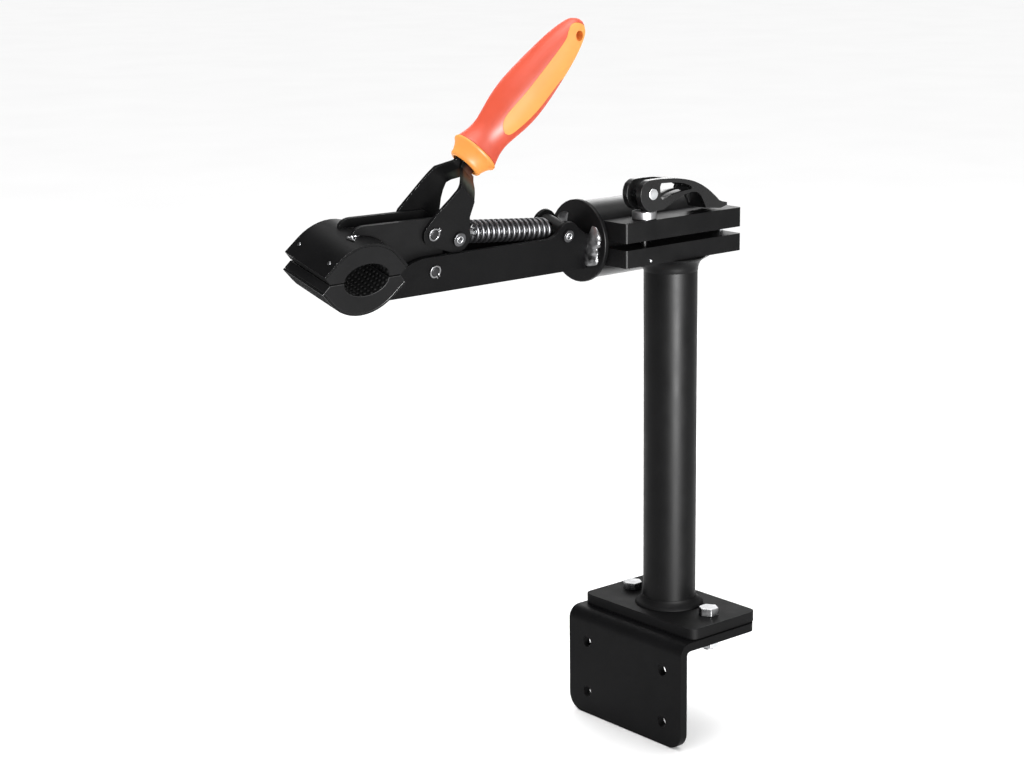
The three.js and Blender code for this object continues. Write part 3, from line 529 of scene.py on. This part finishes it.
for name in ("cam_barrel", "rotor_cap", "rotor_cap_screw", "bar_plug", "push_rod", "lock_nut", "jaw_spacer",
             "foot_nut_left", "foot_nut_right", "nut_washer_left", "nut_washer_right"):
    refine(name, ZINC, 0.5)
for name in ("foot_bolt_left", "foot_bolt_right"):
    refine(name, BOLT_ZINC, 0.5)
refine("cam_seat", DULL_ZINC, 0.4)
for name in ("upper_rivet_a", "upper_rivet_b", "lower_rivet_a", "lower_rivet_b"):
    refine(name, OXIDE, 0.4)
refine("skewer", POWDER, 0.5)
for name in ("jaw_pin", "handle_pin"):
    refine(name, DARK_PIN, 0.5)
for name in ("jaw_pin_ring_near", "jaw_pin_ring_far", "handle_pin_ring_near", "handle_pin_ring_far"):
    refine(name, RING, 0.25)
for name in ("ear_screw_near", "ear_screw_far", "eye_screw", "eye_screw_nut"):
    refine(name, OXIDE, 0.5)
for name in ("upper_pad", "lower_pad"):
    refine(name, RUBBER, 0.7, rim_wear_and_highlight=RUBBER_EDGE)
nodes["rotor_anchor"].data.materials.clear()
nodes["rotor_anchor"].data.materials.append(ZINC)


# ---------- rubber knobs inside the mouth ----------
def knobs(name, sign, body):
    """Rows of small domes over the pad's hollow, every other row set half a pitch over."""
    verts, faces = [], []
    half, height = MOUTH["half"], MOUTH["height"]
    sides = 8
    for row in range(KNOB_GRID["rows"]):
        angle = math.radians(KNOB_GRID["first_deg"] + row * KNOB_GRID["step_deg"])
        s, t = half * math.cos(angle), height * math.sin(angle)
        inward = Vector((0, math.cos(angle) / half, -sign * math.sin(angle) / height)).normalized()
        centre = Vector((0, -(MOUTH["forward"] + s), MOUTH["up"] + sign * (MOUTH["parting"] + t)))
        side = inward.cross(ACROSS)
        for column in range(KNOB_GRID["columns"]):
            shift = KNOB_GRID["pitch"] / 2 if row % 2 else 0
            x = KNOB_GRID["start"] + column * KNOB_GRID["pitch"] + shift
            start = len(verts)
            for radius, rise in KNOB_RINGS:
                for k in range(sides):
                    turn = 2 * math.pi * k / sides
                    spot = centre + ACROSS * (x + radius * math.cos(turn)) + side * radius * math.sin(turn)
                    verts.append(ARM @ ((spot + inward * rise) * MM))
            verts.append(ARM @ ((centre + ACROSS * x + inward * KNOB_TIP) * MM))
            for ring in range(len(KNOB_RINGS) - 1):
                for k in range(sides):
                    j = (k + 1) % sides
                    a = start + ring * sides
                    faces.append([a + k, a + j, a + sides + j, a + sides + k])
            top = start + (len(KNOB_RINGS) - 1) * sides
            for k in range(sides):
                faces.append([top + k, top + (k + 1) % sides, start + len(KNOB_RINGS) * sides])
    obj = new_object(name, verts, faces, RUBBER, body, "jaw_rubber")
    shade(obj, 80)


knobs("upper_pad_knobs", 1, "upper_jaw")
knobs("lower_pad_knobs", -1, "arm")

# ---------- spring ----------
STEPS_PER_TURN = 28
coil = []
front, back = SPRING["from_eye"] - ROD_SPAN, -SPRING["from_trunnion"]
radius = SPRING["radius"]
coil_steps = int(SPRING["turns"] * STEPS_PER_TURN)
for i in range(coil_steps + 1):
    share = i / (SPRING["turns"] * STEPS_PER_TURN)
    turn = share * SPRING["turns"] * 2 * math.pi
    spot = Vector((radius * math.cos(turn), radius * math.sin(turn), front + share * (back - front)))
    coil.append(ROD @ (spot * MM))
tube("spring_skin", coil, [SPRING["wire"]] * len(coil), SPRING_STEEL, "pusher",
     slot="blackened_steel", replaces=["spring"])

# ---------- handle grip ----------
GRIP_GAP = 0.3  # between the grip and the collar
GRIP_PROFILE = curve_through([
    (20.6, GRIP_GAP), (19.4, 4), (17.5, 12), (17.2, 21), (18.9, 32), (20.9, 44), (21.9, 58), (21.3, 74),
    (19.6, 92), (17.4, 110), (15, 123), (12.2, 133.4), (9.4, 139.8), (5.2, 143.9),
], 78)
INSET = 0.08  # keeps the smooth skin inside the faceted solid
GRIP_SIDES = 96


def grip_bow(h):
    """How far the grip's middle has bowed to one side at a height."""
    return 0.018 * max(h, 0) + 0.00015 * max(h, 0) ** 2


def grip_solid(name, grow, material, **more):
    """The grip's outer shape, grown by a thickness on every side."""
    def raised(h):
        return h + (grow - GRIP_GAP) * max(0.0, (h - GRIP_SHOULDER) / (GRIP_TOP - GRIP_SHOULDER))

    rows = [(0, GRIP_GAP - grow)] + [(r + grow - INSET, raised(h)) for r, h in GRIP_PROFILE]
    r, h = rows[-1]
    rows += [(0.55 * r, h + 0.75 * (raised(GRIP_TOP) - h)), (0, raised(GRIP_TOP))]
    return lathe(name, rows, GRIP, material, "handle", GRIP_SIDES, grip_bow, **more)


def side_frame(origin):
    """A matrix at a point of the arm, with X along the grip's side, Y along its axis and Z across."""
    turn = Matrix((GRIP_SIDE, GRIP_AXIS, ACROSS)).transposed().to_4x4()
    return ARM @ Matrix.Translation(origin * MM) @ turn


INLAY_FRONT = curve_through([
    (3, 24.6), (7.6, 26), (11.8, 31), (14.2, 40), (15.3, 55), (15.6, 80), (15.3, 104), (15, 118), (15.3, 123),
    (16, 128), (15.6, 134.5), (12.5, 139.5), (6, 142.6), (-4, 143.8), (-24, 144.5),
], 98)
INLAY_BACK = curve_through([
    (-24, 142), (-24, 103), (-14, 99.5), (-9, 96.5), (-5.4, 91), (-4.6, 80), (-4.6, 60), (-3.6, 40),
    (-2.4, 30), (-0.4, 26),
], 63)
INLAY_FOOT, INLAY_HEAD = 30, 133  # below and above these heights the outline's ends grow too
CUTTER_REACH = 40  # past the grip on either side


def inlay_cutter(grow, depth):
    """The inlay's outline seen from the near side, pushed through the grip from a depth outwards."""
    outline = [
        (r + grow, h - grow if h < INLAY_FOOT else h + grow if h > INLAY_HEAD else h) for r, h in INLAY_FRONT
    ]
    outline += [(r - grow, h - (grow if h < INLAY_FOOT else 0)) for r, h in INLAY_BACK]
    return prism(outline, depth, CUTTER_REACH, side_frame(GRIP_BASE))


def hang_cutter():
    """The hanging hole's round bar, across the grip near its tip."""
    spot = GRIP_BASE + GRIP_AXIS * HANG_HOLE["height"] + GRIP_SIDE * HANG_HOLE["side"]
    radius, sides = HANG_HOLE["radius"], 32
    turns = [2 * math.pi * k / sides for k in range(sides)]
    ring = [(radius * math.cos(turn), -radius * math.sin(turn)) for turn in turns]
    return prism(ring, -CUTTER_REACH, CUTTER_REACH, side_frame(spot))


# The inlay lies in a recess of the grip, a hair narrower and shallower than it.
grip = grip_solid("grip_skin", 0, RED, slot="grip_red", replaces=["grip"])
recess = inlay_cutter(grow=0.12, depth=1.2)
combine(recess, grip_solid("cutter_inner", -1.4, RED), "DIFFERENCE")
combine(grip, recess, "DIFFERENCE")
combine(grip, hang_cutter(), "DIFFERENCE")
inlay = grip_solid("grip_inlay_skin", 0, ORANGE, slot="grip_orange", replaces=["grip_inlay"])
combine(inlay, inlay_cutter(grow=-0.05, depth=1.5), "INTERSECT")
combine(inlay, grip_solid("cutter_core", -1.3, RED), "DIFFERENCE")
combine(inlay, hang_cutter(), "DIFFERENCE")
# The hole's wall takes the collar's orange.
for obj, plastic in ((grip, RED), (inlay, ORANGE)):
    obj.data.materials.clear()
    obj.data.materials.append(plastic)
    obj.data.materials.append(COLLAR_ORANGE)
    for polygon in obj.data.polygons:
        spot = GRIP.inverted() @ polygon.center / MM
        away = math.hypot(spot.y + HANG_HOLE["side"], spot.z - HANG_HOLE["height"])
        polygon.material_index = 1 if away < HANG_HOLE["radius"] + 0.05 else 0
    shade(obj, 30)
    bevel(obj, 0.3, angle=40)

COLLAR_PROFILE = [
    (11.8, -15.8), (13.0, -15.9), (14.6, -15.2), (15.4, -14.2), (15.6, -12.8), (15.9, -11.2), (16.6, -9.6),
    (17.4, -7.6), (18.4, -6), (19.6, -4.4), (20.8, -3.4), (21.3, -2.8), (21.5, -1.8), (21.5, -1.0),
    (21.2, -0.4), (20.6, 0.0), (12, 0), (11.8, -15.8),
]
collar = lathe("collar_skin", COLLAR_PROFILE, GRIP, COLLAR_ORANGE, "handle", GRIP_SIDES,
               slot="grip_orange", replaces=["collar"])
shade(collar, 40)


# ---------- welds and bright socket rims (painted highlight) ---
def bead(name, start, end, radius, material, body, seed):
    """A hand-laid weld bead: overlapping ripples that swell and shrink."""
    path, radii = [], []
    steps = 12
    for i in range(steps + 1):
        f = i / steps
        wobble = noise.noise_vector(Vector((seed, f * 5, 0.3)))
        path.append(ARM @ ((start.lerp(end, f) + wobble * radius * 0.35) * MM))
        ripple = 0.25 * abs(math.sin(f * math.pi * steps / 5))
        swell = 0.75 + ripple + 0.25 * noise.noise(Vector((seed, 0, f * 7)))
        ends = min(1.0, 4 * f + 0.35, 4 * (1 - f) + 0.35)
        radii.append(radius * swell * ends)
    tube(name, path, radii, material, body)


WELD_FOOT, WELD_LENGTH = -17, 38
WELD_WIDTH, WELD_DEPTH = 14, 4.6  # across the disc, and out along the plate


def weld_patch(name, side, seed):
    """A lumpy fillet weld in the corner between an arm plate and the rotor's disc."""
    rows, across = 60, 12
    verts, faces = [], []
    for i in range(rows + 1):
        f = i / rows
        v = WELD_FOOT + WELD_LENGTH * f
        ends = min(1.0, 5 * f + 0.3, 5 * (1 - f) + 0.3)
        swell = ends * (0.9 + 0.05 * math.sin(f * 34) + 0.22 * noise.noise(Vector((seed, f * 4, 0))))
        room = math.sqrt(DISC_WELD_REACH ** 2 - v * v) - PLATE_FACE - 0.5
        wide = min(WELD_WIDTH * swell, room)
        tall = WELD_DEPTH * swell
        verts.append(arm_at(side * PLATE_FACE, DISC_FACE, v))
        for j in range(across + 1):
            turn = math.pi / 2 * j / across
            lump = 1 + 0.12 * noise.noise(Vector((seed + 3, f * 9, j * 0.45)))
            x = PLATE_FACE + wide * math.sin(turn) ** 1.3 * lump
            verts.append(arm_at(side * x, DISC_FACE + tall * math.cos(turn) ** 1.1 * lump, v))
    ring = across + 2
    for i in range(rows):
        for k in range(ring):
            j = (k + 1) % ring
            faces.append([i * ring + k, i * ring + j, (i + 1) * ring + j, (i + 1) * ring + k])
    faces += [list(range(ring))[::-1], list(range(rows * ring, (rows + 1) * ring))]
    if side < 0:
        faces = [face[::-1] for face in faces]
    obj = new_object(name, verts, faces, WELD, "arm")
    shade(obj, 50)


weld_patch("arm_weld_near", 1, 2.3)
weld_patch("arm_weld_far", -1, 5.1)
# Two short beads where the near lever plate meets the upper jaw's cover.
bead("plate_weld_front", Vector((9.5, -354.6, 40.1)), Vector((18.5, -352.4, 40.1)), 1.3,
     WELD, "upper_jaw", 1.7)
bead("plate_weld_side", Vector((11.6, -352.5, 40.6)), Vector((12.2, -343.5, 40.9)), 1.0,
     RING, "upper_jaw", 3.1)


def socket_rim(screw, pivot):
    """A bright zinc ring round a screw's socket, on the near face of its head: a painted highlight for the
    light on the socket's chamfer, partly a burnished edge.
    """
    home = ARM.inverted()
    face = max((home @ vertex.co).x for vertex in nodes[screw].data.vertices)
    path = []
    for k in range(41):
        turn = 2 * math.pi * k / 40
        path.append(ARM @ Vector((
            face - 0.1 * MM,
            (pivot.y + SCREW_SOCKET * math.cos(turn)) * MM,
            (pivot.z + SCREW_SOCKET * math.sin(turn)) * MM,
        )))
    tube(screw + "_rim", path, [0.42] * len(path), ZINC, nodes[screw]["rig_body"], 8)


socket_rim("eye_screw", EYE)
socket_rim("ear_screw_near", TRUNNION)

# The fillet of weld under the lower clamp bar, (radius, height above the column's top).
FILLET_PROFILE = [
    (24.8, -13), (25.3, -12), (25.6, -9), (26.3, -6.4), (27.6, -4), (29.3, -2), (31.2, -0.8), (32, 0.6),
    (24.8, 0.6), (24.8, -13),
]
FILLET_DROP = 0.6
column_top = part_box("column")[1][2] / MM
fillet = lathe("column_top_weld", FILLET_PROFILE,
               Matrix.Translation((0, COLUMN_Y, (column_top - FILLET_DROP) * MM)), POWDER, "stand", 72)
shade(fillet, 60)

# ---------- camera ----------
IMAGE_WIDTH = 1024
FOCAL_LENGTH = 2137.038  # in the same unit as the image's width
SENSOR = 36
CAMERA_PLACE = (1.398008, -1.311569, 0.736859)
CAMERA_RIGHT = Vector((0.64412677, 0.76481287, -0.01272699))
CAMERA_UP = Vector((-0.16613311, 0.15612005, 0.97366643))
CAMERA_BACK = Vector((0.74665956, -0.62505024, 0.22762184))
camera_data = bpy.data.cameras.new("camera")
camera_data.sensor_width = SENSOR
camera_data.lens = FOCAL_LENGTH / IMAGE_WIDTH * SENSOR
camera = bpy.data.objects.new("camera", camera_data)
turned = Matrix((CAMERA_RIGHT, CAMERA_UP, CAMERA_BACK)).transposed().to_4x4()
camera.matrix_world = Matrix.Translation(CAMERA_PLACE) @ turned
scene.collection.objects.link(camera)
scene.camera = camera


# ---------- studio ----------
def area(name, place, target, size, power, diffuse=True):
    """A soft box at a place, facing a target; without diffuse it only draws highlights."""
    data = bpy.data.lights.new(name, "AREA")
    data.shape = "RECTANGLE"
    data.size, data.size_y = size
    data.energy = power
    obj = bpy.data.objects.new(name, data)
    obj.location = place
    obj.rotation_euler = (Vector(place) - Vector(target)).to_track_quat("Z", "Y").to_euler()
    obj.visible_diffuse = diffuse
    scene.collection.objects.link(obj)


area("overhead", (-0.2, 0.2, 2.2), (0, -0.05, 0.3), (1.8, 1.6), 24)
area("back_box", (-1.3, 1.15, 1.0), (0, -0.05, 0.35), (1.7, 0.9), 18)
area("left_box", (-0.9, -1.9, 1.0), (0, -0.1, 0.3), (0.7, 1.4), 4)
area("key_strip", (1.56, -0.46, 0.42), (0, 0.05, 0.35), (0.4, 1.0), 300, False)
area("rim_box", (0.1, -0.1, 2.0), (0, -0.05, 0.3), (0.9, 0.9), 44, False)

world = bpy.data.worlds.new("studio")
world.use_nodes = True
scene.world = world
sky = world.node_tree
# The backdrop is white to the eye, bright for soft light, and darker where gloss reflects it.
SEEN_WHITE, SOFT_LIGHT, REFLECTED = 1.0, 1.08, 0.13
seen = sky.nodes.new("ShaderNodeLightPath")


def backdrop(strength):
    """A plain white sky of a given strength."""
    made = sky.nodes.new("ShaderNodeBackground")
    made.inputs["Color"].default_value = (1, 1, 1, 1)
    made.inputs["Strength"].default_value = strength
    return made.outputs[0]


def choose(switch, off, on):
    """One backdrop or the other, by a property of the ray that sees it."""
    made = sky.nodes.new("ShaderNodeMixShader")
    sky.links.new(seen.outputs[switch], made.inputs["Fac"])
    sky.links.new(off, made.inputs[1])
    sky.links.new(on, made.inputs[2])
    return made.outputs[0]


lit = choose("Is Glossy Ray", backdrop(SOFT_LIGHT), backdrop(REFLECTED))
shown = choose("Is Camera Ray", lit, backdrop(SEEN_WHITE))
sky.links.new(shown, sky.nodes["World Output"].inputs["Surface"])

floor_mesh = bpy.data.meshes.new("floor")
span, floor_z = 40.0, cad_box[0][2] - 0.5 * MM
corners = ((-span, -span), (span, -span), (span, span), (-span, span))
floor_mesh.from_pydata([(x, y, floor_z) for x, y in corners], [], [(0, 1, 2, 3)])
floor = bpy.data.objects.new("floor", floor_mesh)
scene.collection.objects.link(floor)
floor_paint = Recipe("floor_paint")
floor_paint.colour(floor_paint.ramp(floor_paint.noise(3, 2), [(0.3, 0.93), (0.7, 0.95)]))
floor_paint.shader.inputs["Roughness"].default_value = 0.9
floor_mesh.materials.append(floor_paint.mat)

scene.view_settings.view_transform = "Standard"
